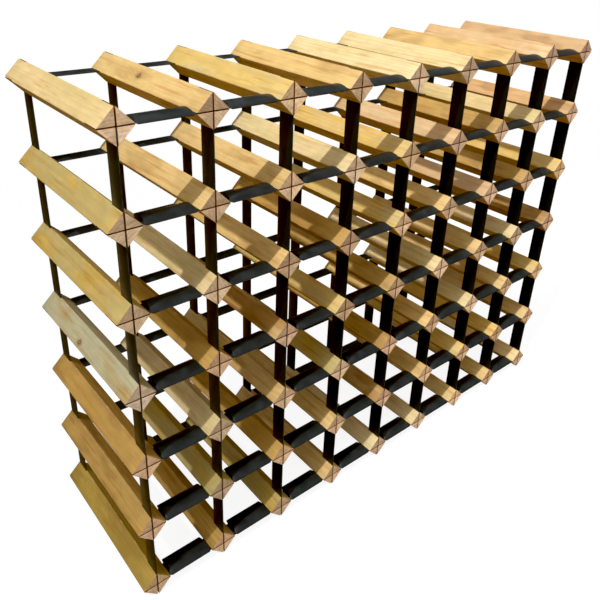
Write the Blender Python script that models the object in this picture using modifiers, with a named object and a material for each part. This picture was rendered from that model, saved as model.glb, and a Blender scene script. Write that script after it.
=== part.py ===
"""Wine rack: square softwood battens held in a lattice of black steel straps.

Battens lie front to back with one edge up, in nine columns and seven rows. Both ends of
every batten have a cross of saw kerfs from corner to corner. Flat steel uprights sit in
the upright kerfs and cross straps in the level ones. The front cross straps are bearers,
pressed to a shallow arch between the battens, with a flat tongue at each end.

The rack stands on the floor at z = 0, centred in X and Y, and faces -Y.
"""

import math

import bmesh
import bpy
from mathutils import Matrix, Vector

MM = 0.001

# Battens
COLUMNS = 9
ROWS = 7
PITCH = 94.0 * MM  # between batten centres, across and up
BATTEN_SIDE = 25.4 * MM  # of the square, before its edges are eased
BATTEN_LENGTH = 228.6 * MM
EDGE_EASE = 0.7 * MM  # leg of the small chamfer along each long edge

# Steel straps
STRAP_THICKNESS = 1.2 * MM
UPRIGHT_WIDTH = 22.0 * MM
UPRIGHT_SETBACK = 0.6 * MM  # from a batten's end to the upright's outer edge
CROSS_WIDTH = 20.0 * MM  # of rear cross straps and of the bearers' tongues
CROSS_SETBACK = 1.6 * MM  # from a batten's end to their outer edge

# Pressed part of a front bearer
BEARER_WIDTH = 27.0 * MM
BEARER_SETBACK = 0.6 * MM  # from a batten's end to the press's outer edge
BEARER_RISE = 4.2 * MM  # of the arch, from its edges to its crest
BEARER_DROP = 1.0 * MM  # of its edges below the tongues
BEARER_START = 1.0 * MM  # from a batten's side to where the press begins
BEARER_RAMP = 2.5 * MM  # from the flat tongue to the full arch
BEARER_SEGMENTS = 6

# Fits
CLEARANCE = 0.3 * MM
TONGUE_LAP = 2.0 * MM  # of the outermost tongues past their upright
BOND_LAP = 1.0 * MM  # of the base row's straps into its battens

# Rows are counted from the top. The bottom row and its cross straps are one frame.
BASE_ROW = ROWS
UPPER_ROWS = range(1, ROWS // 2 + 1)
LOWER_ROWS = range(ROWS // 2 + 1, BASE_ROW)

# Worked out from the sizes above
CORNER_REACH = (BATTEN_SIDE - EDGE_EASE) / math.sqrt(2)  # from centre to eased edge
KERF_WIDTH = STRAP_THICKNESS + 2 * CLEARANCE
STRAP_REACH = max(UPRIGHT_SETBACK + UPRIGHT_WIDTH, CROSS_SETBACK + CROSS_WIDTH)
KERF_DEPTH = STRAP_REACH + CLEARANCE
BASE_LAP = KERF_DEPTH + BOND_LAP - CROSS_SETBACK - CROSS_WIDTH  # added to the base row's straps
FRONT = -1
REAR = 1
SIDE_NAMES = {FRONT: "front", REAR: "rear"}
OVERCUT = 2.0 * MM  # of cutters past the surface that they open

WOOD_COLOUR = (0.72, 0.50, 0.25, 1.0)
STEEL_COLOUR = (0.018, 0.019, 0.021, 1.0)


def column_x(column):
    """X of the batten centres in a column, counted from the left."""
    return (column - (COLUMNS + 1) / 2) * PITCH


def row_z(row):
    """Z of the batten centres in a row, counted from the top."""
    return CORNER_REACH + (ROWS - row) * PITCH


def inset_y(side, inset):
    """Y of a line that lies inset from the battens' front or rear ends."""
    return side * (BATTEN_LENGTH / 2 - inset)


def middle_y(side, setback, width):
    """Y of the middle of a strap whose outer edge is setback from the battens' ends."""
    return inset_y(side, setback + width / 2)


def clear_scene():
    """Remove every object."""
    for old in list(bpy.data.objects):
        bpy.data.objects.remove(old, do_unlink=True)


def new_collection(name):
    """Add a collection to the scene."""
    collection = bpy.data.collections.new(name)
    bpy.context.scene.collection.children.link(collection)
    return collection


def new_material(name, colour, roughness, metallic):
    """Make a plain Principled material."""
    material = bpy.data.materials.new(name)
    material.use_nodes = True
    shader = material.node_tree.nodes["Principled BSDF"]
    shader.inputs["Base Color"].default_value = colour
    shader.inputs["Roughness"].default_value = roughness
    shader.inputs["Metallic"].default_value = metallic
    material.diffuse_color = colour
    return material


def new_object(name, mesh, collection):
    """Put a mesh in a collection as a named object."""
    obj = bpy.data.objects.new(name, mesh)
    collection.objects.link(obj)
    return obj


def mesh_from(bm, name):
    """Turn a bmesh into a mesh and free it."""
    mesh = bpy.data.meshes.new(name)
    bm.to_mesh(mesh)
    bm.free()
    return mesh


def add_box(bm, size, centre):
    """Add a box of a size about a centre to a bmesh."""
    place = Matrix.Translation(Vector(centre)) @ Matrix.Diagonal((*size, 1.0))
    return bmesh.ops.create_cube(bm, size=1.0, matrix=place)["verts"]


def new_tool(name, bm, tools):
    """Make a Boolean tool, which is drawn as wire and not rendered."""
    tool = new_object(name, mesh_from(bm, name), tools)
    tool.display_type = "WIRE"
    tool.hide_render = True
    return tool


def add_boolean(obj, operation, tool):
    """Add an exact Boolean modifier."""
    modifier = obj.modifiers.new(f"{operation.lower()} {tool.name}", "BOOLEAN")
    modifier.operation = operation
    modifier.solver = "EXACT"
    modifier.object = tool


def batten_mesh(tools):
    """Make one batten about its own centre, edge up, with a kerf cross in each end."""
    bm = bmesh.new()
    add_box(bm, (BATTEN_SIDE, BATTEN_LENGTH, BATTEN_SIDE), (0.0, 0.0, 0.0))
    long_edges = [e for e in bm.edges if abs(e.verts[0].co.y - e.verts[1].co.y) > BATTEN_LENGTH / 2]
    bmesh.ops.bevel(bm, geom=long_edges, offset=EDGE_EASE, segments=1, profile=0.5, affect="EDGES")
    bmesh.ops.rotate(bm, verts=bm.verts, matrix=Matrix.Rotation(math.radians(45.0), 3, "Y"))
    blank = new_object("batten_blank", mesh_from(bm, "batten_blank"), tools)

    across = 2 * (CORNER_REACH + OVERCUT)
    upright_kerfs = bmesh.new()
    level_kerfs = bmesh.new()
    for side in (FRONT, REAR):
        centre = (0.0, inset_y(side, (KERF_DEPTH - OVERCUT) / 2), 0.0)
        depth = KERF_DEPTH + OVERCUT
        add_box(upright_kerfs, (KERF_WIDTH, depth, across), centre)
        add_box(level_kerfs, (across, depth, KERF_WIDTH), centre)
    add_boolean(blank, "DIFFERENCE", new_tool("upright_kerfs", upright_kerfs, tools))
    add_boolean(blank, "DIFFERENCE", new_tool("level_kerfs", level_kerfs, tools))

    view = bpy.context.evaluated_depsgraph_get()
    mesh = bpy.data.meshes.new_from_object(blank.evaluated_get(view))
    mesh.name = "batten"
    bpy.data.objects.remove(blank, do_unlink=True)
    return mesh


def bearer_stations():
    """List the places along a row of bearers as (x, share of the full arch)."""
    stations = [(column_x(1) - TONGUE_LAP, 0.0)]
    for column in range(1, COLUMNS):
        start = column_x(column) + CORNER_REACH + BEARER_START
        end = column_x(column + 1) - CORNER_REACH - BEARER_START
        stations += [
            (start, 0.0),
            (start + BEARER_RAMP, 1.0),
            (end - BEARER_RAMP, 1.0),
            (end, 0.0),
        ]
    stations.append((column_x(COLUMNS) + TONGUE_LAP, 0.0))
    return stations


def arch_height(across):
    """Height of the arch over its edges, at a share from -1 to 1 across its width."""
    radius = (BEARER_WIDTH**2 / 4 + BEARER_RISE**2) / (2 * BEARER_RISE)
    offset = across * BEARER_WIDTH / 2
    return math.sqrt(radius**2 - offset**2) - (radius - BEARER_RISE)


def add_bearer_row(bm, row, lap):
    """Add the middle surface of a row of front bearers, with their tongues run together.

    The tongues are wider by lap on the inner side.
    """
    stations = bearer_stations()
    spans = len(stations) - 1
    grid = bmesh.ops.create_grid(bm, x_segments=spans, y_segments=BEARER_SEGMENTS, size=0.5)
    tongue_width = CROSS_WIDTH + lap
    tongue_y = middle_y(FRONT, CROSS_SETBACK, tongue_width)
    bearer_y = middle_y(FRONT, BEARER_SETBACK, BEARER_WIDTH)
    for vert in grid["verts"]:
        x, press = stations[round((vert.co.x + 0.5) * spans)]
        across = 2 * vert.co.y
        width = tongue_width + press * (BEARER_WIDTH - tongue_width)
        middle = tongue_y + press * (bearer_y - tongue_y)
        lift = press * (arch_height(across) - BEARER_DROP)
        vert.co = Vector((x, middle + across * width / 2, row_z(row) + lift))


def add_flat_cross_row(bm, row, lap):
    """Add a row of rear cross straps run together, wider by lap on the inner side."""
    length = column_x(COLUMNS) - column_x(1) + 2 * TONGUE_LAP
    width = CROSS_WIDTH + lap
    middle = middle_y(REAR, CROSS_SETBACK, width)
    add_box(bm, (length, width, STRAP_THICKNESS), (0.0, middle, row_z(row)))


def uprights_tool(side, rows, tools):
    """Make the uprights that hang from a group of rows, one strip for each column.

    A strip starts in the middle of its top row's cross strap and ends just over the
    cross strap of the next group.
    """
    top = row_z(rows[0])
    bottom = row_z(rows[-1] + 1) + STRAP_THICKNESS / 2 + CLEARANCE
    bm = bmesh.new()
    for column in range(1, COLUMNS + 1):
        middle = middle_y(side, UPRIGHT_SETBACK, UPRIGHT_WIDTH)
        centre = (column_x(column), middle, (top + bottom) / 2)
        add_box(bm, (STRAP_THICKNESS, UPRIGHT_WIDTH, top - bottom), centre)
    return new_tool(f"{SIDE_NAMES[side]}_uprights_{rows[0]}_{rows[-1]}", bm, tools)


def add_thickness(obj):
    """Give a middle surface the strap's thickness, half on each side."""
    solidify = obj.modifiers.new("strap thickness", "SOLIDIFY")
    solidify.thickness = STRAP_THICKNESS
    solidify.offset = 0.0
    solidify.use_even_offset = True


def build_straps(side, rows, name, steel, rack, tools):
    """Build the straps of a group of rows on one side of the rack."""
    bm = bmesh.new()
    for row in rows:
        if side == FRONT:
            add_bearer_row(bm, row, 0.0)
        else:
            add_flat_cross_row(bm, row, 0.0)
    straps = new_object(name, mesh_from(bm, name), rack)
    straps.data.materials.append(steel)
    if side == FRONT:
        add_thickness(straps)
    add_boolean(straps, "UNION", uprights_tool(side, rows, tools))


def build_battens(mesh, wood, rack):
    """Place the loose battens, which share one mesh."""
    mesh.materials.append(wood)
    for row in range(1, BASE_ROW):
        for column in range(1, COLUMNS + 1):
            batten = new_object(f"batten_row{row}_col{column}", mesh, rack)
            batten.location = (column_x(column), 0.0, row_z(row))


def build_base_row(batten, wood, rack, tools):
    """Build the bottom row: nine battens joined by their front and rear cross straps."""
    bm = bmesh.new()
    for column in range(1, COLUMNS + 1):
        known = set(bm.verts)
        bm.from_mesh(batten)
        added = [v for v in bm.verts if v not in known]
        bmesh.ops.translate(bm, verts=added, vec=(column_x(column), 0.0, row_z(BASE_ROW)))
    base = new_object("base_row", mesh_from(bm, "base_row"), rack)
    base.data.materials.clear()
    base.data.materials.append(wood)

    bearers = bmesh.new()
    add_bearer_row(bearers, BASE_ROW, BASE_LAP)
    bearer_tool = new_tool("base_bearers", bearers, tools)
    add_thickness(bearer_tool)
    flats = bmesh.new()
    add_flat_cross_row(flats, BASE_ROW, BASE_LAP)
    add_boolean(base, "UNION", bearer_tool)
    add_boolean(base, "UNION", new_tool("base_rear_straps", flats, tools))


def main():
    clear_scene()
    rack = new_collection("wine_rack")
    tools = new_collection("wine_rack_tools")
    wood = new_material("softwood", WOOD_COLOUR, 0.62, 0.0)
    steel = new_material("black_steel", STEEL_COLOUR, 0.42, 0.0)
    batten = batten_mesh(tools)
    build_battens(batten, wood, rack)
    build_base_row(batten, wood, rack, tools)
    for side in (FRONT, REAR):
        build_straps(side, UPPER_ROWS, f"{SIDE_NAMES[side]}_straps_upper", steel, rack, tools)
        build_straps(side, LOWER_ROWS, f"{SIDE_NAMES[side]}_straps_lower", steel, rack, tools)


main()
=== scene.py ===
"""Looks of a wine rack: square wood battens held edge up in a lattice of black steel straps.

Every batten and every strap of the rack is built here as its own piece, at the places that the
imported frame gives. The battens are sawn softwood, each with its own tone, growth rings and
slight bow. The straps are thin steel under a satin black powder coat: flat uprights front and
rear, flat cross straps at the rear, and bearers pressed to a shallow arch at the front. A plain
pale studio stands round them.
"""

import logging
import math
import random
from collections.abc import Callable, Iterable, Sequence
from dataclasses import dataclass, field
from enum import Enum
from typing import Any

import bmesh
import bpy
from mathutils import Matrix, Vector

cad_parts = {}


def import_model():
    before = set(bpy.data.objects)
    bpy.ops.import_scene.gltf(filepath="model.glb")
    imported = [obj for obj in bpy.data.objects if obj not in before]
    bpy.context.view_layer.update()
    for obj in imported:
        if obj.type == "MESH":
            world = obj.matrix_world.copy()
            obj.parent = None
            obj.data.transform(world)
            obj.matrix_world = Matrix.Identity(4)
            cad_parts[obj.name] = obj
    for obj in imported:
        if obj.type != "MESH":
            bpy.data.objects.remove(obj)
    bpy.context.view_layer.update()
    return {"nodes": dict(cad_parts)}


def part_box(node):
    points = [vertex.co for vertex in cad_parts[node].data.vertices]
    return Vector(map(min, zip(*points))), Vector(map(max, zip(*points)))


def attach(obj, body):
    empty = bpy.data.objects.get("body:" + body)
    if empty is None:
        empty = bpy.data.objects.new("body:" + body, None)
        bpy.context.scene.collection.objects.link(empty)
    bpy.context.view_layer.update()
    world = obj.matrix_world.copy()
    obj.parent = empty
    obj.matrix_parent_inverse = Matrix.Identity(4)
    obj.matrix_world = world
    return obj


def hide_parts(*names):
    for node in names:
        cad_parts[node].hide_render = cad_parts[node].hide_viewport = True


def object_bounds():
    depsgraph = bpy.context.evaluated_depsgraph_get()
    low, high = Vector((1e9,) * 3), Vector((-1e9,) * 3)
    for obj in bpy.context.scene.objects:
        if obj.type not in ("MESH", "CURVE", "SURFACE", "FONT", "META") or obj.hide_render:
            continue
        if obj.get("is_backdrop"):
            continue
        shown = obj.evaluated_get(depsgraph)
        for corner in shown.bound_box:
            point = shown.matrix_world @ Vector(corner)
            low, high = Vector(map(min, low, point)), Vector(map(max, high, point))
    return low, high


LOG = logging.getLogger("wine_rack")
MM = 0.001
BODY = "root"
EDGE_UP = math.radians(45.0)  # turn that stands a square batten on its corner
HAIR = 0.001 * MM  # how near two points are to count as one

Colour = tuple[float, float, float]
Socket = bpy.types.NodeSocket


class Side(Enum):
    """The two sides of the rack that hold straps, as the direction of +Y that they face."""

    FRONT = -1
    REAR = 1


class Zone(Enum):
    """Kinds of surface on a batten, as material indices of its mesh."""

    PLANED = 0
    END_GRAIN = 1
    KERF = 2


class Timber(Enum):
    """Boards that the battens were sawn from: the linear colours of the wood and its blotches."""

    STRAW = ((0.84, 0.65, 0.33), (0.76, 0.60, 0.27))
    HONEY = ((0.80, 0.56, 0.23), (0.64, 0.42, 0.16))
    GOLD = ((0.80, 0.55, 0.17), (0.72, 0.54, 0.23))
    OLIVE = ((0.55, 0.43, 0.17), (0.60, 0.40, 0.10))
    SILVER = ((0.55, 0.50, 0.30), (0.52, 0.36, 0.14))
    ROSE = ((0.74, 0.49, 0.25), (0.78, 0.58, 0.33))
    SALMON = ((0.72, 0.46, 0.22), (0.56, 0.33, 0.15))
    AMBER = ((0.60, 0.37, 0.11), (0.46, 0.27, 0.08))
    RUSSET = ((0.48, 0.27, 0.09), (0.62, 0.42, 0.18))
    MUSTARD = ((0.52, 0.36, 0.09), (0.42, 0.28, 0.07))


BOARDS = {
    "S": Timber.STRAW,
    "H": Timber.HONEY,
    "G": Timber.GOLD,
    "O": Timber.OLIVE,
    "V": Timber.SILVER,
    "P": Timber.ROSE,
    "M": Timber.SALMON,
    "A": Timber.AMBER,
    "R": Timber.RUSSET,
    "U": Timber.MUSTARD,
}


# ---------------------------------------------------------------- shader nodes


class NodeSheet:
    """Adds nodes to one tree and links them.

    Wherever a method takes a value, a socket is linked and anything else is set on the input.
    """

    def __init__(self, tree: bpy.types.NodeTree) -> None:
        """Work on a tree."""
        self.tree = tree

    def feed(self, socket: Socket, value: Any) -> None:
        """Link a socket to an input, or set the input's own value."""
        if isinstance(value, bpy.types.NodeSocket):
            self.tree.links.new(value, socket)
        elif isinstance(value, tuple) and socket.type == "RGBA" and len(value) == 3:
            socket.default_value = (*value, 1.0)
        else:
            socket.default_value = value

    def add(self, kind: str, inputs: dict[Any, Any] | None = None, **settings: Any) -> bpy.types.Node:
        """Add a node.

        Args:
            kind: The node's type.
            inputs: Values or sockets by input name or number.
            **settings: Properties of the node.

        Returns:
            The node.
        """
        node = self.tree.nodes.new(kind)
        for name, value in settings.items():
            setattr(node, name, value)
        for key, value in (inputs or {}).items():
            self.feed(node.inputs[key], value)
        return node

    def maths(self, operation: str, *values: Any) -> Socket:
        """Do arithmetic on numbers."""
        return self.add("ShaderNodeMath", dict(enumerate(values)), operation=operation).outputs[0]

    def vectors(self, operation: str, *values: Any) -> Socket:
        """Do arithmetic on vectors."""
        node = self.add("ShaderNodeVectorMath", dict(enumerate(values)), operation=operation)
        return node.outputs["Value" if operation in ("LENGTH", "DOT_PRODUCT") else "Vector"]

    def scale(self, colour: Socket, factor: Any) -> Socket:
        """Make a colour lighter or darker by a factor."""
        inputs = {"Vector": colour, "Scale": factor}
        return self.add("ShaderNodeVectorMath", inputs, operation="SCALE").outputs["Vector"]

    def parts(self, vector: Socket) -> tuple[Socket, Socket, Socket]:
        """Split a vector into X, Y and Z."""
        node = self.add("ShaderNodeSeparateXYZ", {0: vector})
        return node.outputs[0], node.outputs[1], node.outputs[2]

    def mix(self, share: Any, first: Any, second: Any, blend: str = "MIX") -> Socket:
        """Mix two colours.

        Args:
            share: Share of the second colour.
            first: The first colour.
            second: The second colour.
            blend: How the second is laid over the first.

        Returns:
            The mixed colour.
        """
        inputs = {0: share, 6: first, 7: second}
        node = self.add("ShaderNodeMix", inputs, data_type="RGBA", blend_type=blend)
        return node.outputs[2]

    def remap(self, value: Any, old: Sequence[float], new: Sequence[float] = (0.0, 1.0)) -> Socket:
        """Carry a value smoothly from one range to another and hold it there.

        Args:
            value: The value.
            old: Start and end of the range that it comes from.
            new: Start and end of the range that it goes to.

        Returns:
            The value in the new range.
        """
        inputs = dict(enumerate((value, *old, *new)))
        kind = "SMOOTHSTEP"
        return self.add("ShaderNodeMapRange", inputs, interpolation_type=kind).outputs[0]

    def noise(self, point: Any, scale: Any, detail: float = 2.0, rough: float = 0.5) -> Socket:
        """Sample a noise at a point.

        Args:
            point: The point.
            scale: Features to the metre.
            detail: How many finer layers it has.
            rough: How strong the finer layers are.

        Returns:
            The noise, from 0 to 1.
        """
        inputs = {"Vector": point, "Scale": scale, "Detail": detail, "Roughness": rough}
        return self.add("ShaderNodeTexNoise", inputs).outputs[0]

    def attribute(self, name: str) -> Socket:
        """Read a vector that the mesh carries."""
        return self.add("ShaderNodeAttribute", attribute_name=name).outputs["Vector"]

    def group(self, tree: bpy.types.NodeTree, **inputs: Any) -> bpy.types.bpy_prop_collection:
        """Place a shared group in this tree.

        Args:
            tree: The group.
            **inputs: Values or sockets by input name, with _ for a space.

        Returns:
            The outputs of the placed group.
        """
        named = {name.replace("_", " "): value for name, value in inputs.items()}
        node = self.tree.nodes.new("ShaderNodeGroup")
        node.node_tree = tree
        for name, value in named.items():
            self.feed(node.inputs[name], value)
        return node.outputs

    def bump(self, height: Socket, distance: float, strength: float = 1.0) -> Socket:
        """Turn a height into a normal.

        Args:
            height: The height, from 0 to 1.
            distance: How many metres a height of 1 stands for.
            strength: How much of it shows.

        Returns:
            The normal.
        """
        inputs = {"Height": height, "Distance": distance, "Strength": strength}
        return self.add("ShaderNodeBump", inputs).outputs[0]


def shared_group(
    name: str,
    inputs: dict[str, str],
    outputs: Iterable[str],
    fill: Callable[[NodeSheet, Any], Sequence[Socket]],
) -> bpy.types.NodeTree:
    """Make a node group, or find it if it is made already.

    Args:
        name: The group's name.
        inputs: Socket kinds by input name: "Float", "Vector" or "Color".
        outputs: Names of the outputs, which are numbers.
        fill: Adds the nodes and gives the sockets for the outputs, in order.

    Returns:
        The group.
    """
    if name in bpy.data.node_groups:
        return bpy.data.node_groups[name]
    tree = bpy.data.node_groups.new(name, "ShaderNodeTree")
    for label, kind in inputs.items():
        tree.interface.new_socket(label, in_out="INPUT", socket_type=f"NodeSocket{kind}")
    for label in outputs:
        tree.interface.new_socket(label, in_out="OUTPUT", socket_type="NodeSocketFloat")
    sheet = NodeSheet(tree)
    given = sheet.add("NodeGroupInput").outputs
    made = fill(sheet, given)
    sheet.add("NodeGroupOutput", dict(enumerate(made)))
    return tree


def growth_rings() -> bpy.types.NodeTree:
    """Group for the growth rings of a log, seen on any cut through it.

    Log is a point in the log's own frame, whose Y axis is the pith. Late Wood is 0 in pale
    early wood and rises to 1 in the dark band that ends each year.
    """

    def fill(sheet: NodeSheet, given: Any) -> Sequence[Socket]:
        """Add the group's nodes."""
        slow = sheet.vectors("MULTIPLY", given["Log"], (1.0, 0.09, 1.0))
        sway = sheet.noise(slow, 20.0, 1.0)
        ripple = sheet.noise(slow, 150.0, 2.0)
        across = sheet.vectors("MULTIPLY", given["Log"], (1.0, 0.0, 1.0))
        radius = sheet.vectors("LENGTH", across)
        drift = sheet.maths("MULTIPLY", sheet.maths("SUBTRACT", sway, 0.5), given["Waver"])
        small = sheet.maths("MULTIPLY", sheet.maths("SUBTRACT", ripple, 0.5), given["Ring Width"])
        moved = sheet.maths("ADD", sheet.maths("ADD", radius, drift), small)
        moved = sheet.maths("ADD", moved, given["Swirl"])
        years = sheet.maths("DIVIDE", moved, given["Ring Width"])
        season = sheet.add("ShaderNodeTexNoise", {"W": years, "Scale": 0.4}, noise_dimensions="1D")
        uneven = sheet.maths("MULTIPLY_ADD", season.outputs[0], 1.6, years)
        phase = sheet.maths("FRACT", uneven)
        rise = sheet.remap(phase, (0.15, 0.90))
        fall = sheet.remap(phase, (0.92, 1.0), (1.0, 0.0))
        return (sheet.maths("MULTIPLY", rise, fall),)

    inputs = {"Log": "Vector", "Ring Width": "Float", "Waver": "Float", "Swirl": "Float"}
    return shared_group("growth_rings", inputs, ["Late Wood"], fill)


def wood_fibre() -> bpy.types.NodeTree:
    """Group for the fibres of wood, which run along Y, and the mottling over them.

    Streak is a soft lengthways streak, Fibre a fine one, Blotch a broad soft patch and Cloud a
    smaller one, all from 0 to 1.
    """

    def fill(sheet: NodeSheet, given: Any) -> Sequence[Socket]:
        """Add the group's nodes."""
        point = given["Point"]
        soft = sheet.vectors("MULTIPLY", point, (1.0, 0.06, 1.0))
        fine = sheet.vectors("MULTIPLY", point, (1.0, 0.018, 1.0))
        broad = sheet.vectors("MULTIPLY", point, (1.0, 0.30, 1.0))
        small = sheet.vectors("MULTIPLY", point, (1.0, 0.45, 1.0))
        return (
            sheet.noise(soft, 190.0, 3.0, 0.55),
            sheet.noise(fine, 1500.0, 2.0, 0.6),
            sheet.noise(broad, 44.0, 2.0, 0.55),
            sheet.noise(small, 120.0, 2.0, 0.5),
        )

    outputs = ["Streak", "Fibre", "Blotch", "Cloud"]
    return shared_group("wood_fibre", {"Point": "Vector"}, outputs, fill)


def rubbed_edge() -> bpy.types.NodeTree:
    """Group for a mask along an edge, uneven from place to place: wear on the steel, and wear with a
    painted highlight on the wood's rounded arrises.

    Distance is the distance to the edge, and Reach how far the mark goes, in the same unit.
    """

    def fill(sheet: NodeSheet, given: Any) -> Sequence[Socket]:
        """Add the group's nodes."""
        broken = sheet.noise(given["Point"], given["Breaks"], 3.0, 0.6)
        share = sheet.maths("DIVIDE", given["Distance"], given["Reach"])
        reach = sheet.remap(broken, (0.35, 0.75), (0.05, 1.0))
        worn = sheet.maths("SUBTRACT", reach, share)
        return (sheet.remap(worn, (0.0, 0.5)),)

    inputs = {"Point": "Vector", "Distance": "Float", "Reach": "Float", "Breaks": "Float"}
    return shared_group("rubbed_edge", inputs, ["Wear"], fill)


# ---------------------------------------------------------------- finishes


def new_material(name: str) -> tuple[bpy.types.Material, NodeSheet, bpy.types.Node]:
    """Make a material.

    Args:
        name: The material's name.

    Returns:
        The material, its node sheet and its Principled shader.
    """
    material = bpy.data.materials.new(name)
    material.use_nodes = True
    return material, NodeSheet(material.node_tree), material.node_tree.nodes["Principled BSDF"]


@dataclass(frozen=True)
class PlanedWood:
    """Planed side of a softwood batten."""

    ring_width: float = 3.8 * MM
    waver: float = 18.0 * MM
    blotch_share: float = 0.9
    late_tint: Colour = (0.80, 0.64, 0.46)
    late_share: tuple[float, float] = (0.15, 0.30)
    flame_tint: Colour = (0.80, 0.64, 0.47)
    flame_share: float = 0.8
    cloud_light: tuple[float, float] = (0.93, 1.05)
    fibre_light: tuple[float, float] = (0.97, 1.025)
    knot_tint: Colour = (0.20, 0.085, 0.035)
    knot_share: tuple[float, float] = (0.35, 0.85)
    # pale rims: wear, plus a painted highlight where the rounded long edges catch the light
    rim_wear_and_highlight_tint: Colour = (0.88, 0.64, 0.42)
    rim_share: float = 0.45
    rim_reach: float = 1.6 * MM
    batten_side: float = 25.4 * MM
    roughness: tuple[float, float] = (0.50, 0.66)
    grain_depth: float = 0.05 * MM

    def material(self) -> bpy.types.Material:
        """Build the material."""
        material, sheet, shader = new_material("planed_wood")
        own, tone = sheet.attribute("own"), sheet.attribute("tone")
        knot, swirl = self.knot(sheet)
        rings = sheet.group(
            growth_rings(),
            Log=sheet.attribute("log"),
            Ring_Width=self.ring_width,
            Waver=self.waver,
            Swirl=swirl,
        )
        fibre = sheet.group(wood_fibre(), Point=sheet.add("ShaderNodeTexCoord").outputs["Object"])
        patch = sheet.remap(fibre["Blotch"], (0.46, 0.64), (0.0, self.blotch_share))
        wood = sheet.mix(patch, tone, sheet.attribute("blotch"))
        shown = sheet.remap(fibre["Cloud"], (0.35, 0.65), self.late_share)
        late = sheet.maths("MULTIPLY", rings["Late Wood"], shown)
        wood = sheet.mix(late, wood, sheet.mix(1.0, wood, self.late_tint, "MULTIPLY"))
        flame = sheet.remap(fibre["Streak"], (0.52, 0.72), (0.0, self.flame_share))
        wood = sheet.mix(flame, wood, sheet.mix(1.0, wood, self.flame_tint, "MULTIPLY"))
        cloud = sheet.remap(fibre["Cloud"], (0.30, 0.70), self.cloud_light)
        fine = sheet.remap(fibre["Fibre"], (0.30, 0.70), self.fibre_light)
        wood = sheet.scale(wood, sheet.maths("MULTIPLY", cloud, fine))
        wood = sheet.mix(knot, wood, self.knot_tint)
        # Pale rims along the long edges: wear, with a painted highlight of the rounded arrises.
        edge = sheet.maths("MULTIPLY", self.edge(sheet, own), self.rim_share)
        wood = sheet.mix(edge, wood, self.rim_wear_and_highlight_tint)
        sheet.feed(shader.inputs["Base Color"], wood)
        gloss = sheet.remap(fibre["Streak"], (0.3, 0.7), self.roughness)
        sheet.feed(shader.inputs["Roughness"], gloss)
        height = sheet.maths("MULTIPLY_ADD", rings["Late Wood"], 0.25, fibre["Fibre"])
        sheet.feed(shader.inputs["Normal"], sheet.bump(height, self.grain_depth, 0.8))
        return material

    def knot(self, sheet: NodeSheet) -> tuple[Socket, Socket]:
        """Shape the batten's knot.

        Args:
            sheet: The material's nodes.

        Returns:
            Mask of the knot, and how far it pushes the rings aside.
        """
        offset = sheet.attribute("knot")
        wobble = sheet.noise(offset, 420.0, 2.0)
        flat = sheet.vectors("MULTIPLY", offset, (1.0, 0.72, 1.0))
        away = sheet.maths("MULTIPLY_ADD", wobble, 2.2 * MM, sheet.vectors("LENGTH", flat))
        pale = sheet.remap(away, (0.9 * MM, 2.6 * MM), self.knot_share)
        fade = sheet.remap(away, (3.2 * MM, 5.2 * MM), (1.0, 0.0))
        core = sheet.maths("MULTIPLY", pale, fade)
        rim = sheet.remap(away, (4.4 * MM, 8.0 * MM), (0.28, 0.0))
        near = sheet.remap(away, (3.0 * MM, 26.0 * MM), (7.0 * MM, 0.0))
        return sheet.maths("MAXIMUM", core, rim), near

    def edge(self, sheet: NodeSheet, own: Socket) -> Socket:
        """Find the wear along the four long edges, which also carries a painted highlight where the
        rounded arrises catch the light.

        Args:
            sheet: The material's nodes.
            own: The point in the batten's own frame, square to its sides.

        Returns:
            Mask of the wear and painted highlight.
        """
        x, _, z = sheet.parts(own)
        inner = sheet.maths("MINIMUM", sheet.maths("ABSOLUTE", x), sheet.maths("ABSOLUTE", z))
        distance = sheet.maths("SUBTRACT", self.batten_side / 2, inner)
        given = {"Point": own, "Distance": distance, "Reach": self.rim_reach, "Breaks": 90.0}
        return sheet.group(rubbed_edge(), **given)["Wear"]


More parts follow.
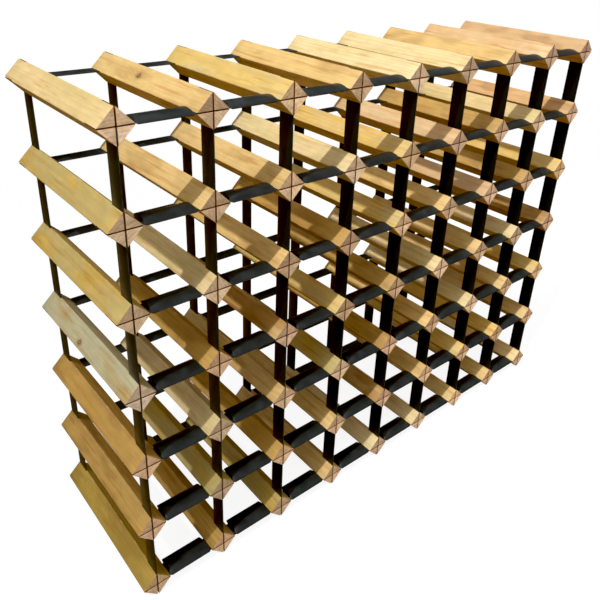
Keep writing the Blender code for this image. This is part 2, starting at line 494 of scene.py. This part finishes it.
@dataclass(frozen=True)
class EndGrain:
    """Sawn end of a softwood batten."""

    tan: Colour = (0.80, 0.58, 0.45)
    tan_share: float = 0.58
    late_tint: Colour = (0.70, 0.52, 0.42)
    late_share: float = 0.38
    ring_width: float = 3.8 * MM
    waver: float = 18.0 * MM
    aged_light: tuple[float, float] = (0.76, 1.10)  # from batten to batten
    stain_light: tuple[float, float] = (1.05, 0.84)
    pore_light: tuple[float, float] = (0.90, 1.05)
    saw_light: tuple[float, float] = (0.95, 1.04)
    saw_depth: float = 0.10 * MM
    roughness: float = 0.78

    def material(self) -> bpy.types.Material:
        """Build the material."""
        material, sheet, shader = new_material("end_grain")
        own, tone = sheet.attribute("own"), sheet.attribute("tone")
        rings = sheet.group(
            growth_rings(),
            Log=sheet.attribute("log"),
            Ring_Width=self.ring_width,
            Waver=self.waver,
            Swirl=0.0,
        )
        wood = sheet.mix(self.tan_share, tone, self.tan)
        late = sheet.maths("MULTIPLY", rings["Late Wood"], self.late_share)
        wood = sheet.mix(late, wood, sheet.mix(1.0, wood, self.late_tint, "MULTIPLY"))
        stain = sheet.noise(sheet.vectors("ADD", own, tone), 150.0, 2.0)
        stained = sheet.remap(stain, (0.40, 0.66), self.stain_light)
        aged = sheet.remap(sheet.noise(tone, 60.0, 1.0), (0.35, 0.65), self.aged_light)
        wood = sheet.scale(wood, aged)
        pores = sheet.remap(sheet.noise(own, 1900.0, 2.0, 0.7), (0.35, 0.65), self.pore_light)
        scratch = sheet.vectors("MULTIPLY", own, (0.08, 1.0, 1.0))
        saw = sheet.noise(scratch, 950.0, 2.0, 0.6)
        marks = sheet.remap(saw, (0.3, 0.7), self.saw_light)
        wood = sheet.scale(wood, sheet.maths("MULTIPLY", sheet.maths("MULTIPLY", pores, marks), stained))
        sheet.feed(shader.inputs["Base Color"], wood)
        shader.inputs["Roughness"].default_value = self.roughness
        sheet.feed(shader.inputs["Normal"], sheet.bump(saw, self.saw_depth, 0.7))
        return material


@dataclass(frozen=True)
class KerfWall:
    """Wall of a saw kerf, browned by the blade, with the shade of the deep narrow slot painted into its
    colour.
    """

    burn_and_shade_tint: Colour = (0.34, 0.16, 0.12)
    saw_light: tuple[float, float] = (0.75, 1.15)
    saw_depth: float = 0.08 * MM
    roughness: float = 0.85

    def material(self) -> bpy.types.Material:
        """Build the material."""
        material, sheet, shader = new_material("kerf_wall")
        # Kerf walls darkened: browning by the blade, and painted shade of the deep narrow slot.
        base = sheet.mix(1.0, sheet.attribute("tone"), self.burn_and_shade_tint, "MULTIPLY")
        sweep = sheet.vectors("MULTIPLY", sheet.attribute("own"), (0.1, 1.0, 0.1))
        saw = sheet.noise(sweep, 900.0, 2.0)
        shade = sheet.remap(saw, (0.3, 0.7), self.saw_light)
        sheet.feed(shader.inputs["Base Color"], sheet.scale(base, shade))
        shader.inputs["Roughness"].default_value = self.roughness
        sheet.feed(shader.inputs["Normal"], sheet.bump(saw, self.saw_depth, 0.6))
        return material


@dataclass(frozen=True)
class PowderCoat:
    """Satin black powder coat on thin steel, rubbed at the rims, with a little dust on upward faces that
    also paints the light falling on their tops.
    """

    colour: Colour = (0.011, 0.017, 0.018)
    # grey of the dust on upward faces, which also paints the light on the tops
    dust_and_top_light: Colour = (0.060, 0.070, 0.075)
    rubbed: Colour = (0.060, 0.065, 0.070)
    roughness: tuple[float, float] = (0.30, 0.42)
    dust_and_top_light_share: tuple[float, float] = (0.05, 0.35)
    rim_share: float = 0.45
    rim_reach: float = 0.10  # as a share of half the strap's width
    peel_depth: float = 0.05 * MM

    def material(self) -> bpy.types.Material:
        """Build the material."""
        material, sheet, shader = new_material("powder_coat")
        point = sheet.add("ShaderNodeTexCoord").outputs["Object"]
        _, across, _ = sheet.parts(sheet.attribute("own"))
        distance = sheet.maths("SUBTRACT", 1.0, sheet.maths("ABSOLUTE", across))
        given = {"Point": point, "Distance": distance, "Reach": self.rim_reach, "Breaks": 130.0}
        wear = sheet.group(rubbed_edge(), **given)["Wear"]
        upward = sheet.parts(sheet.add("ShaderNodeNewGeometry").outputs["Normal"])[2]
        # Lighter on upward faces: settled dust, and a painted highlight of the light on the tops.
        settled = sheet.remap(upward, (0.70, 1.0))
        patches = sheet.remap(sheet.noise(point, 55.0, 4.0, 0.6), (0.35, 0.75), self.dust_and_top_light_share)
        dust_and_top_light_mask = sheet.maths("MULTIPLY", settled, patches)
        coat = sheet.mix(dust_and_top_light_mask, self.colour, self.dust_and_top_light)
        coat = sheet.mix(sheet.maths("MULTIPLY", wear, self.rim_share), coat, self.rubbed)
        sheet.feed(shader.inputs["Base Color"], coat)
        handled = sheet.noise(point, 38.0, 3.0, 0.6)
        gloss = sheet.maths("ADD", sheet.remap(handled, (0.3, 0.7), self.roughness), dust_and_top_light_mask)
        sheet.feed(shader.inputs["Roughness"], gloss)
        peel = sheet.noise(point, 850.0, 1.0, 0.4)
        sheet.feed(shader.inputs["Normal"], sheet.bump(peel, self.peel_depth, 0.5))
        return material


@dataclass(frozen=True)
class PaleFloor:
    """Plain matt floor, whose shadows show faintly and which throws little light back up."""

    seen: Colour = (0.90, 0.90, 0.90)
    glow: float = 0.80  # share of the floor's look that is its own even light
    glow_strength: float = 1.12
    bounce: Colour = (0.31, 0.20, 0.09)

    def material(self) -> bpy.types.Material:
        """Build the material."""
        material, sheet, shader = new_material("pale_floor")
        look = sheet.add("ShaderNodeLightPath").outputs["Is Camera Ray"]
        sheet.feed(shader.inputs["Base Color"], sheet.mix(look, self.bounce, self.seen))
        shader.inputs["Roughness"].default_value = 0.9
        shader.inputs["Specular IOR Level"].default_value = 0.0
        given = {"Color": (1.0, 1.0, 1.0), "Strength": self.glow_strength}
        light = sheet.add("ShaderNodeEmission", given).outputs[0]
        share = sheet.maths("MULTIPLY", look, self.glow)
        surface = sheet.add("ShaderNodeMixShader", {0: share, 1: shader.outputs[0], 2: light})
        output = material.node_tree.nodes["Material Output"]
        sheet.feed(output.inputs["Surface"], surface.outputs[0])
        return material


# ---------------------------------------------------------------- pieces


def write_vectors(mesh: bpy.types.Mesh, name: str, values: Iterable[Vector]) -> None:
    """Store one vector for each vertex of a mesh, for its material to read.

    Args:
        mesh: The mesh.
        name: The attribute's name.
        values: The vectors, in the order of the vertices.
    """
    attribute = mesh.attributes.new(name, "FLOAT_VECTOR", "POINT")
    attribute.data.foreach_set("vector", [part for value in values for part in value])


def round_off(
    bm: bmesh.types.BMesh, edges: list[bmesh.types.BMEdge], radius: float, segments: int = 2
) -> None:
    """Round edges of a mesh.

    Args:
        bm: The mesh.
        edges: The edges.
        radius: How far the rounding reaches from each edge.
        segments: Faces across it.
    """
    bmesh.ops.bevel(
        bm,
        geom=edges,
        offset=radius,
        offset_type="OFFSET",
        segments=segments,
        profile=0.5,
        affect="EDGES",
        material=-1,
    )


def evenly(first: float, last: float, count: int) -> list[float]:
    """Divide the way from first to last into a count of equal steps, both ends included."""
    return [first + (last - first) * k / count for k in range(count + 1)]


def smooth(mesh: bpy.types.Mesh, angle: float) -> None:
    """Shade a mesh smooth except at edges sharper than an angle in degrees."""
    mesh.shade_smooth()
    mesh.set_sharp_from_angle(angle=math.radians(angle))


def add_piece(mesh: bpy.types.Mesh, nodes: Iterable[str]) -> bpy.types.Object:
    """Put a finished mesh in the scene as a piece of the rack.

    Args:
        mesh: The mesh, in its place, whose name the piece takes.
        nodes: The frame's nodes that it stands for.

    Returns:
        The piece.
    """
    piece = bpy.data.objects.new(mesh.name, mesh)
    bpy.context.scene.collection.objects.link(piece)
    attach(piece, BODY)
    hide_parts(*nodes)
    LOG.info("%s: %d faces, stands for %s", piece.name, len(mesh.polygons), ", ".join(nodes))
    return piece


@dataclass(frozen=True)
class Lattice:
    """Places of the battens, read from the frame, in metres."""

    x: tuple[float, ...]
    z: tuple[float, ...]
    reach: float  # from a batten's middle to its corners
    front: float
    rear: float

    @classmethod
    def from_frame(cls, nodes: Iterable[str]) -> "Lattice":
        """Read the lattice.

        Args:
            nodes: Names of the frame's nodes.

        Returns:
            The lattice, with columns from the left and rows from the top.
        """
        columns = sum(name.startswith("batten_row1_") for name in nodes)
        rows = sum(name.endswith("_col1") for name in nodes)
        middles = [cls.middle(f"batten_row1_col{column + 1}") for column in range(columns)]
        low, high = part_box("batten_row1_col1")
        reach = (high.z - low.z) / 2
        levels = [cls.middle(f"batten_row{row + 1}_col1").z for row in range(rows)]
        levels.append(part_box("base_row")[0].z + reach)
        return cls(tuple(m.x for m in middles), tuple(levels), reach, low.y, high.y)

    @staticmethod
    def middle(node: str) -> Vector:
        """Middle of a node's box."""
        low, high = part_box(node)
        return (low + high) / 2

    @property
    def length(self) -> float:
        """Length of a batten."""
        return self.rear - self.front

    def columns(self) -> range:
        """Numbers of the columns, from 0 at the left."""
        return range(len(self.x))

    def rows(self) -> range:
        """Numbers of the rows, from 0 at the top."""
        return range(len(self.z))

    def end(self, side: Side) -> float:
        """Y of the batten ends on a side."""
        return self.front if side is Side.FRONT else self.rear

    def strap_node(self, side: Side, level: float) -> str:
        """Name the frame's node that holds the straps of a side at a level.

        Args:
            side: The side.
            level: Height of the strap.

        Returns:
            The node's name.
        """
        for part in ("upper", "lower"):
            name = f"{side.name.lower()}_straps_{part}"
            low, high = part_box(name)
            if low.z < level < high.z:
                return name
        return "base_row"


@dataclass
class Battens:
    """The wood battens, each one edge up with a cross of kerfs sawn into both ends."""

    lattice: Lattice
    side: float = 25.4 * MM
    corner_radius: float = 1.2 * MM
    corner_segments: int = 4
    upright_kerf: float = 1.6 * MM
    level_kerf: float = 1.3 * MM
    kerf_depth: float = 22.9 * MM
    rim_ease: float = 0.25 * MM
    cross_cuts: int = 6  # along the middle, so that a batten can bow
    most_short: float = 0.6 * MM  # of a batten's length under the full one
    most_bow: float = 0.35 * MM
    most_roll: float = math.radians(0.45)
    pith_distance: tuple[float, float] = (20 * MM, 90 * MM)
    log_length: float = 9.0  # so that no two battens share their grain
    grain_slope: float = math.radians(2.2)
    knot_chance: float = 0.01
    knot_reach: float = 0.4  # most that a drawn knot lies from the middle, as a share of the length
    knots: dict[tuple[int, int], float] = field(default_factory=lambda: {(0, 1): 0.06})
    no_knot: tuple[float, float, float] = (1.0, 1.0, 1.0)  # metres away, so that none shows
    lightness: tuple[float, float] = (0.95, 1.04)
    most_warmth: float = 0.03
    boards: tuple[str, ...] = (
        "SHGHSSHPM",
        "OHHSGPASM",
        "OSHAGHPAG",
        "VARGASHSR",
        "ASHOAHSHG",
        "AOAHRHGGH",
        "UAOHSSHHS",
    )
    draw: random.Random = field(default_factory=lambda: random.Random(41))

    def build(self) -> None:
        """Build and dress every batten."""
        finishes = [PlanedWood(batten_side=self.side), EndGrain(), KerfWall()]
        materials = [finish.material() for finish in finishes]
        master = self.master()
        for row in self.lattice.rows():
            for column in self.lattice.columns():
                self.batten(master, row, column, materials)
        master.free()

    def master(self) -> bmesh.types.BMesh:
        """Make a batten about its own middle, edge up.

        Returns:
            The batten, with its kerfs and zones.
        """
        length = self.lattice.length
        bm = bmesh.new()
        size = Matrix.Diagonal((self.side, length, self.side, 1.0))
        bmesh.ops.create_cube(bm, size=1.0, matrix=size)
        long_edges = [e for e in bm.edges if e.calc_length() > length / 2]
        round_off(bm, long_edges, self.corner_radius, self.corner_segments)
        bmesh.ops.rotate(bm, verts=bm.verts, matrix=Matrix.Rotation(EDGE_UP, 3, "Y"))
        for sign in (-1, 1):
            self.slice(bm, (1.0, 0.0, 0.0), sign * self.upright_kerf / 2)
            self.slice(bm, (0.0, 0.0, 1.0), sign * self.level_kerf / 2)
            self.slice(bm, (0.0, 1.0, 0.0), sign * (length / 2 - self.kerf_depth))
        for cut in range(1, self.cross_cuts):
            reach = length / 2 - self.kerf_depth  # the kerfs end here
            self.slice(bm, (0.0, 1.0, 0.0), reach * (2 * cut / self.cross_cuts - 1))
        for face in bm.faces:
            ends = abs(face.normal.y) > 0.5
            face.material_index = (Zone.END_GRAIN if ends else Zone.PLANED).value
        for side in Side:
            self.saw_kerfs(bm, side)
        bmesh.ops.remove_doubles(bm, verts=bm.verts, dist=HAIR)
        rims = [e for e in bm.edges if all(self.at_end(v.co, length) for v in e.verts)]
        round_off(bm, rims, self.rim_ease)
        return bm

    @staticmethod
    def at_end(point: Vector, length: float) -> bool:
        """Tell whether a point is on an end face."""
        return abs(abs(point.y) - length / 2) < HAIR

    @staticmethod
    def slice(bm: bmesh.types.BMesh, normal: Sequence[float], offset: float) -> None:
        """Cut new edges where a plane crosses a mesh.

        Args:
            bm: The mesh.
            normal: The plane's normal.
            offset: Its distance from the origin.
        """
        everything = [*bm.verts, *bm.edges, *bm.faces]
        place = Vector(normal) * offset
        bmesh.ops.bisect_plane(bm, geom=everything, plane_co=place, plane_no=normal, dist=1e-7)

    def saw_kerfs(self, bm: bmesh.types.BMesh, side: Side) -> None:
        """Sink the cross of kerfs into one end and open it at the long edges.

        Args:
            bm: The batten about its own middle.
            side: The end to saw.
        """
        cross = [f for f in bm.faces if f.normal.y * side.value > 0.9 and self.in_kerf(f)]
        grown = bmesh.ops.extrude_face_region(bm, geom=cross)["geom"]
        floor = [item for item in grown if isinstance(item, bmesh.types.BMVert)]
        bmesh.ops.translate(bm, verts=floor, vec=(0.0, -side.value * self.kerf_depth, 0.0))
        for face in {face for vert in floor for face in vert.link_faces}:
            if all(v.co.y * side.value > 0 for v in face.verts) and face not in cross:
                face.material_index = Zone.KERF.value
        bm.normal_update()
        mouth = self.lattice.length / 2 - self.kerf_depth
        tips = [
            f
            for f in bm.faces
            if abs(f.normal.y) < 0.5
            and f.calc_center_median().y * side.value > mouth
            and self.in_kerf(f, HAIR)
        ]
        bmesh.ops.delete(bm, geom=cross + tips, context="FACES")

    def in_kerf(self, face: bmesh.types.BMFace, margin: float = 0.0) -> bool:
        """Tell whether a face's middle is in either kerf of the cross.

        Args:
            face: The face.
            margin: How far inside the kerf it has to be.

        Returns:
            Whether it is.
        """
        middle = face.calc_center_median()
        upright = abs(middle.x) < self.upright_kerf / 2 - margin
        return upright or abs(middle.z) < self.level_kerf / 2 - margin

    def batten(
        self,
        master: bmesh.types.BMesh,
        row: int,
        column: int,
        materials: list[bpy.types.Material],
    ) -> None:
        """Build one batten from the master.

        Args:
            master: The batten about its own middle.
            row: Its row, from 0 at the top.
            column: Its column, from 0 at the left.
            materials: The finish of each zone.
        """
        mesh = bpy.data.meshes.new(f"batten_r{row + 1}_c{column + 1}")
        bm = master.copy()
        short = self.draw.uniform(0.0, self.most_short)
        squeeze = (1.0, 1.0 - short / self.lattice.length, 1.0)
        bmesh.ops.scale(bm, verts=bm.verts, vec=squeeze)
        square = Matrix.Rotation(-EDGE_UP, 3, "Y")
        own = [square @ vert.co for vert in bm.verts]
        self.bow(bm, row, column)
        turn = Matrix.Rotation(self.draw.uniform(-1, 1) * self.most_roll, 3, "Y")
        bmesh.ops.rotate(bm, verts=bm.verts, matrix=turn)
        shift = self.draw.uniform(-0.5, 0.5) * short
        middle = (self.lattice.front + self.lattice.rear) / 2 + shift
        place = (self.lattice.x[column], middle, self.lattice.z[row])
        bmesh.ops.translate(bm, verts=bm.verts, vec=place)
        bm.to_mesh(mesh)
        bm.free()
        log = self.log_frame()
        tone, blotch = self.tones(row, column)
        knot = self.knot_place(row, column)
        write_vectors(mesh, "own", own)
        write_vectors(mesh, "log", [log @ point for point in own])
        write_vectors(mesh, "knot", [point - knot for point in own])
        write_vectors(mesh, "tone", [tone] * len(own))
        write_vectors(mesh, "blotch", [blotch] * len(own))
        for material in materials:
            mesh.materials.append(material)
        smooth(mesh, 35.0)
        last = row == len(self.lattice.z) - 1
        node = "base_row" if last else f"batten_row{row + 1}_col{column + 1}"
        add_piece(mesh, [node])

    def bow(self, bm: bmesh.types.BMesh, row: int, column: int) -> None:
        """Bow a batten, towards the middle of the rack where it is one of the outermost.

        Args:
            bm: The batten about its own middle.
            row: Its row, from 0 at the top.
            column: Its column, from 0 at the left.
        """
        half = self.lattice.length / 2
        counts = (column, len(self.lattice.x)), (row, len(self.lattice.z))
        amounts = []
        for place, count in counts:
            outer = {0: 1, count - 1: -1}.get(place, self.draw.choice((-1, 1)))
            amounts.append(outer * self.draw.uniform(0.0, self.most_bow))
        for vert in bm.verts:
            share = 1.0 - (vert.co.y / half) ** 2
            vert.co.x += amounts[0] * share
            vert.co.z -= amounts[1] * share

    def log_frame(self) -> Matrix:
        """Draw the place of a batten in its log, whose pith runs along Y."""
        turn = Matrix.Rotation(self.draw.uniform(0.0, math.tau), 4, "Y")
        slope = Matrix.Rotation(self.draw.uniform(-1, 1) * self.grain_slope, 4, "X")
        away = (self.draw.uniform(*self.pith_distance), self.draw.uniform(0.0, self.log_length), 0.0)
        return Matrix.Translation(away) @ slope @ turn

    def tones(self, row: int, column: int) -> list[Vector]:
        """Draw the colours of a batten: its board's, a little varied.

        Args:
            row: Its row, from 0 at the top.
            column: Its column, from 0 at the left.

        Returns:
            The colour of the wood and of its blotches.
        """
        light = self.draw.uniform(*self.lightness)
        warm = self.draw.uniform(-self.most_warmth, self.most_warmth)
        change = Vector((light * (1 + warm), light, light * (1 - 2 * warm)))
        return [Vector(colour) * change for colour in BOARDS[self.boards[row][column]].value]

    def knot_place(self, row: int, column: int) -> Vector:
        """Place the middle of a batten's knot, far away for the many that have none.

        Args:
            row: The batten's row, from 0 at the top.
            column: Its column, from 0 at the left.

        Returns:
            The place, in the batten's own frame.
        """
        chance = self.draw.random()
        along = self.draw.uniform(-self.knot_reach, self.knot_reach)
        aside = self.draw.uniform(-0.5, 0.5) * self.side / 2
        if (row, column) in self.knots:
            return Vector((-self.side / 2, self.knots[row, column] * self.lattice.length, 0.0))
        if chance > self.knot_chance:
            return Vector(self.no_knot)
        return Vector((-self.side / 2, along * self.lattice.length, aside))


@dataclass
class Strap:
    """A kind of steel strap: what all kinds share."""

    lattice: Lattice
    coat: bpy.types.Material
    thickness: float = 1.2 * MM
    rim_radius: float = 0.3 * MM
    rim_angle: float = math.radians(50)  # a sharper edge than this is a rim
    end_gap: float = 0.15 * MM
    draw: random.Random = field(default_factory=lambda: random.Random(7))

    @property
    def meeting_gap(self) -> float:
        """From a batten's middle to where straps that meet there end."""
        return self.thickness / 2 + self.end_gap

    def sheet(
        self,
        name: str,
        stations: Sequence[float],
        across: int,
        shape: Callable[[float, float], Vector],
    ) -> bpy.types.Mesh:
        """Form a strip of steel.

        Args:
            name: The mesh's name.
            stations: Distances along the strip where it has a row of points.
            across: How many faces it has across its width.
            shape: Gives the middle surface's point for a distance along the strip and a share
                from -1 to 1 across it.

        Returns:
            The mesh, in its place, with its thickness and rounded rims.
        """
        spans = len(stations) - 1
        bm = bmesh.new()
        own = bm.verts.layers.float_vector.new("own")
        grid = bmesh.ops.create_grid(bm, x_segments=spans, y_segments=across, size=0.5)
        for vert in grid["verts"]:
            along = stations[round((vert.co.x + 0.5) * spans)]
            share = 2 * vert.co.y
            vert.co = shape(along, share)
            vert[own] = Vector((along, share, 0.0))
        bm.normal_update()
        for vert in bm.verts:
            vert.co -= vert.normal * self.thickness / 2
        bmesh.ops.solidify(bm, geom=bm.faces, thickness=-self.thickness)
        bmesh.ops.recalc_face_normals(bm, faces=bm.faces)
        rims = [e for e in bm.edges if e.is_manifold and e.calc_face_angle() > self.rim_angle]
        round_off(bm, rims, self.rim_radius)
        mesh = bpy.data.meshes.new(name)
        bm.to_mesh(mesh)
        bm.free()
        mesh.materials.append(self.coat)
        smooth(mesh, 40.0)
        return mesh


@dataclass
class Uprights(Strap):
    """Flat straps that stand in the upright kerfs, from one row of battens to the next."""

    width: float = 22.0 * MM
    setback: float = 0.6 * MM
    more_setback: float = 0.3 * MM
    most_bow: float = 0.3 * MM
    pieces: int = 4  # faces along an upright

    def build(self) -> None:
        """Build every upright, front and rear."""
        for side in Side:
            for row in self.lattice.rows()[:-1]:
                for column in self.lattice.columns():
                    self.upright(side, row, column)

    def upright(self, side: Side, row: int, column: int) -> None:
        """Build one upright.

        Args:
            side: Front or rear.
            row: The row that it hangs below.
            column: Its column.
        """
        top = self.lattice.z[row] - self.meeting_gap
        bottom = self.lattice.z[row + 1] + self.meeting_gap
        bow = self.draw.uniform(-1.0, 1.0) * self.most_bow
        inset = self.setback + self.draw.uniform(0.0, self.more_setback)
        outer = self.lattice.end(side) - side.value * inset
        middle = outer - side.value * self.width / 2

        def shape(along: float, share: float) -> Vector:
            """Point of the upright's middle surface."""
            sag = bow * math.sin(math.pi * (along - bottom) / (top - bottom))
            x = self.lattice.x[column] + sag
            return Vector((x, middle + share * self.width / 2, along))

        name = f"{side.name.lower()}_upright_r{row + 1}_c{column + 1}"
        mesh = self.sheet(name, evenly(bottom, top, self.pieces), 1, shape)
        add_piece(mesh, [self.lattice.strap_node(side, (top + bottom) / 2)])


@dataclass
class CrossStraps(Strap):
    """Flat straps in the level kerfs at the rear, from one batten to the next."""

    width: float = 20.0 * MM
    setback: float = 1.6 * MM
    most_bow: float = 0.25 * MM
    pieces: int = 4  # faces along a strap

    def build(self) -> None:
        """Build every rear cross strap."""
        for row in self.lattice.rows():
            for column in self.lattice.columns()[:-1]:
                self.cross_strap(row, column)

    def cross_strap(self, row: int, column: int) -> None:
        """Build one cross strap.

        Args:
            row: Its row.
            column: The column of the batten at its left.
        """
        left = self.lattice.x[column] + self.meeting_gap
        right = self.lattice.x[column + 1] - self.meeting_gap
        bow = self.draw.uniform(-1.0, 0.4) * self.most_bow
        middle = self.lattice.end(Side.REAR) - self.setback - self.width / 2
        level = self.lattice.z[row]

        def shape(along: float, share: float) -> Vector:
            """Point of the strap's middle surface."""
            sag = bow * math.sin(math.pi * (along - left) / (right - left))
            return Vector((along, middle + share * self.width / 2, level + sag))

        name = f"rear_cross_strap_r{row + 1}_c{column + 1}"
        mesh = self.sheet(name, evenly(left, right, self.pieces), 1, shape)
        add_piece(mesh, [self.lattice.strap_node(Side.REAR, level)])


@dataclass
class Bearers(Strap):
    """Front cross straps, pressed to a shallow arch between their two flat tongues."""

    tongue_width: float = 20.0 * MM
    tongue_setback: float = 1.6 * MM
    width: float = 27.0 * MM
    setback: float = 0.6 * MM
    rise: float = 4.2 * MM  # of the arch, from its edges to its crest
    drop: float = 1.0 * MM  # of its edges below the tongues
    left_start: tuple[float, float] = (0.1 * MM, 2.6 * MM)  # from the batten to the press
    right_start: tuple[float, float] = (0.2 * MM, 1.2 * MM)
    ramp: float = 2.2 * MM
    ramp_steps: int = 5
    arch_steps: int = 4
    across: int = 12  # faces across the width

    def build(self) -> None:
        """Build every bearer."""
        for row in self.lattice.rows():
            for column in self.lattice.columns()[:-1]:
                self.bearer(row, column)

    def arch(self, share: float) -> float:
        """Measure the arch over its edges.

        Args:
            share: Place across its width, from -1 to 1.

        Returns:
            The height there.
        """
        radius = (self.width**2 / 4 + self.rise**2) / (2 * self.rise)
        offset = share * self.width / 2
        return math.sqrt(radius**2 - offset**2) - (radius - self.rise)

    def bearer(self, row: int, column: int) -> None:
        """Build one bearer.

        Args:
            row: Its row.
            column: The column of the batten at its left.
        """
        lattice = self.lattice
        left = lattice.x[column] + self.meeting_gap
        right = lattice.x[column + 1] - self.meeting_gap
        start = lattice.x[column] + lattice.reach + self.draw.uniform(*self.left_start)
        end = lattice.x[column + 1] - lattice.reach - self.draw.uniform(*self.right_start)
        level = lattice.z[row]
        tongue_middle = lattice.front + self.tongue_setback + self.tongue_width / 2
        press_middle = lattice.front + self.setback + self.width / 2

        def pressed(along: float) -> float:
            """Share of the full press, from 0 on the tongues to 1 on the arch."""
            share = min(along - start, end - along) / self.ramp
            share = min(max(share, 0.0), 1.0)
            return share * share * (3 - 2 * share)

        def shape(along: float, share: float) -> Vector:
            """Point of the bearer's middle surface."""
            press = pressed(along)
            width = self.tongue_width + press * (self.width - self.tongue_width)
            middle = tongue_middle + press * (press_middle - tongue_middle)
            lift = press * (self.arch(share) - self.drop)
            return Vector((along, middle + share * width / 2, level + lift))

        ramps = [self.ramp * k / self.ramp_steps for k in range(self.ramp_steps + 1)]
        first, last = start + self.ramp, end - self.ramp
        crown = evenly(first, last, self.arch_steps)[1:-1]
        steps = [left, *(start + r for r in ramps), *crown, *(end - r for r in reversed(ramps)), right]
        mesh = self.sheet(f"bearer_r{row + 1}_c{column + 1}", steps, self.across, shape)
        add_piece(mesh, [lattice.strap_node(Side.FRONT, level)])


# ---------------------------------------------------------------- studio


@dataclass
class Studio:
    """A plain pale floor, soft light and the camera."""

    floor_size: float = 60.0
    key_from: tuple[float, float, float] = (-0.491, -0.152, 0.859)
    key_aim: tuple[float, float, float] = (0.22, 0.0, 0.40)
    key_distance: float = 20.0
    key_power: float = 11400.0
    key_reach: float = 0.90  # from the aim to where its light has faded out
    key_radius: float = 0.22
    halo_strength: float = 0.8
    halo_angle: float = math.radians(50.0)
    fill_from: tuple[float, float, float] = (-0.12, -0.98, 0.16)
    fill_strength: float = 1.75
    fill_angle: float = math.radians(40.0)
    overhead: float = 0.55
    horizon: float = 0.02
    sky_rise: tuple[float, float] = (0.40, 1.0)  # heights between which the sky turns light
    black_level: Colour = (0.010, 0.013, 0.016)
    camera_place: tuple[float, float, float] = (-0.5920, -0.6090, 0.7367)
    camera_turn: tuple[float, float, float] = (64.142, -2.293, -39.844)  # degrees
    lens: float = 38.816
    shift: tuple[float, float] = (-0.0126, -0.1023)

    def build(self) -> None:
        """Build the studio."""
        self.floor()
        self.spot()
        self.sun("key_halo", self.key_from, self.halo_strength, self.halo_angle)
        self.sun("fill_light", self.fill_from, self.fill_strength, self.fill_angle)
        self.sky()
        self.camera()
        view = bpy.context.scene.view_settings
        view.view_transform = "Standard"
        view.use_curve_mapping = True
        view.curve_mapping.black_level = self.black_level
        view.curve_mapping.update()

    def floor(self) -> None:
        """Lay the floor under the rack."""
        bm = bmesh.new()
        bmesh.ops.create_grid(bm, x_segments=1, y_segments=1, size=self.floor_size / 2)
        bmesh.ops.translate(bm, verts=bm.verts, vec=(0.0, 0.0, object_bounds()[0].z))
        mesh = bpy.data.meshes.new("floor")
        bm.to_mesh(mesh)
        bm.free()
        mesh.materials.append(PaleFloor().material())
        floor = bpy.data.objects.new("floor", mesh)
        bpy.context.scene.collection.objects.link(floor)
        floor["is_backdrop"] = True

    def spot(self) -> None:
        """Add the key light, a far spot that fades out away from its aim."""
        light = bpy.data.lights.new("key_light", "SPOT")
        light.energy = self.key_power
        light.shadow_soft_size = self.key_radius
        light.spot_size = 2 * math.atan(self.key_reach / self.key_distance)
        light.spot_blend = 1.0
        way = Vector(self.key_from).normalized()
        self.hang(light, way).location = Vector(self.key_aim) + way * self.key_distance

    @staticmethod
    def hang(light: bpy.types.Light, source: Vector) -> bpy.types.Object:
        """Put a light in the scene.

        Args:
            light: The light.
            source: Direction that it shines from.

        Returns:
            The object that holds it.
        """
        lamp = bpy.data.objects.new(light.name, light)
        lamp.rotation_euler = source.to_track_quat("Z", "Y").to_euler()
        bpy.context.scene.collection.objects.link(lamp)
        return lamp

    def sun(self, name: str, source: Sequence[float], strength: float, angle: float) -> None:
        """Add a broad light from afar.

        Args:
            name: Its name.
            source: Direction towards it.
            strength: Its light on a surface that faces it.
            angle: How wide it looks, which softens its shadows.
        """
        light = bpy.data.lights.new(name, "SUN")
        light.energy = strength
        light.angle = angle
        self.hang(light, Vector(source))

    def sky(self) -> None:
        """Light the rack mostly from overhead, before a white backdrop."""
        world = bpy.data.worlds.new("studio_sky")
        world.use_nodes = True
        sheet = NodeSheet(world.node_tree)
        background = world.node_tree.nodes["Background"]
        way = sheet.add("ShaderNodeTexCoord").outputs["Generated"]
        height = sheet.parts(way)[2]
        light = sheet.remap(height, self.sky_rise, (self.horizon, self.overhead))
        seen = sheet.add("ShaderNodeLightPath").outputs["Is Camera Ray"]
        sheet.feed(background.inputs["Strength"], sheet.maths("MAXIMUM", light, seen))
        background.inputs["Color"].default_value = (1.0, 1.0, 1.0, 1.0)
        bpy.context.scene.world = world

    def camera(self) -> None:
        """Place the camera at the front left, above the rack."""
        lens = bpy.data.cameras.new("camera")
        lens.lens = self.lens
        lens.shift_x, lens.shift_y = self.shift
        camera = bpy.data.objects.new("camera", lens)
        camera.location = self.camera_place
        camera.rotation_euler = [math.radians(turn) for turn in self.camera_turn]
        bpy.context.scene.collection.objects.link(camera)
        bpy.context.scene.camera = camera


def main() -> None:
    """Build the rack and its studio."""
    logging.basicConfig(level=logging.INFO, format="%(message)s")
    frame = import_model()
    lattice = Lattice.from_frame(frame["nodes"])
    coat = PowderCoat().material()
    Battens(lattice).build()
    Uprights(lattice, coat).build()
    CrossStraps(lattice, coat).build()
    Bearers(lattice, coat).build()
    Studio().build()


if __name__ == "__main__":
    main()
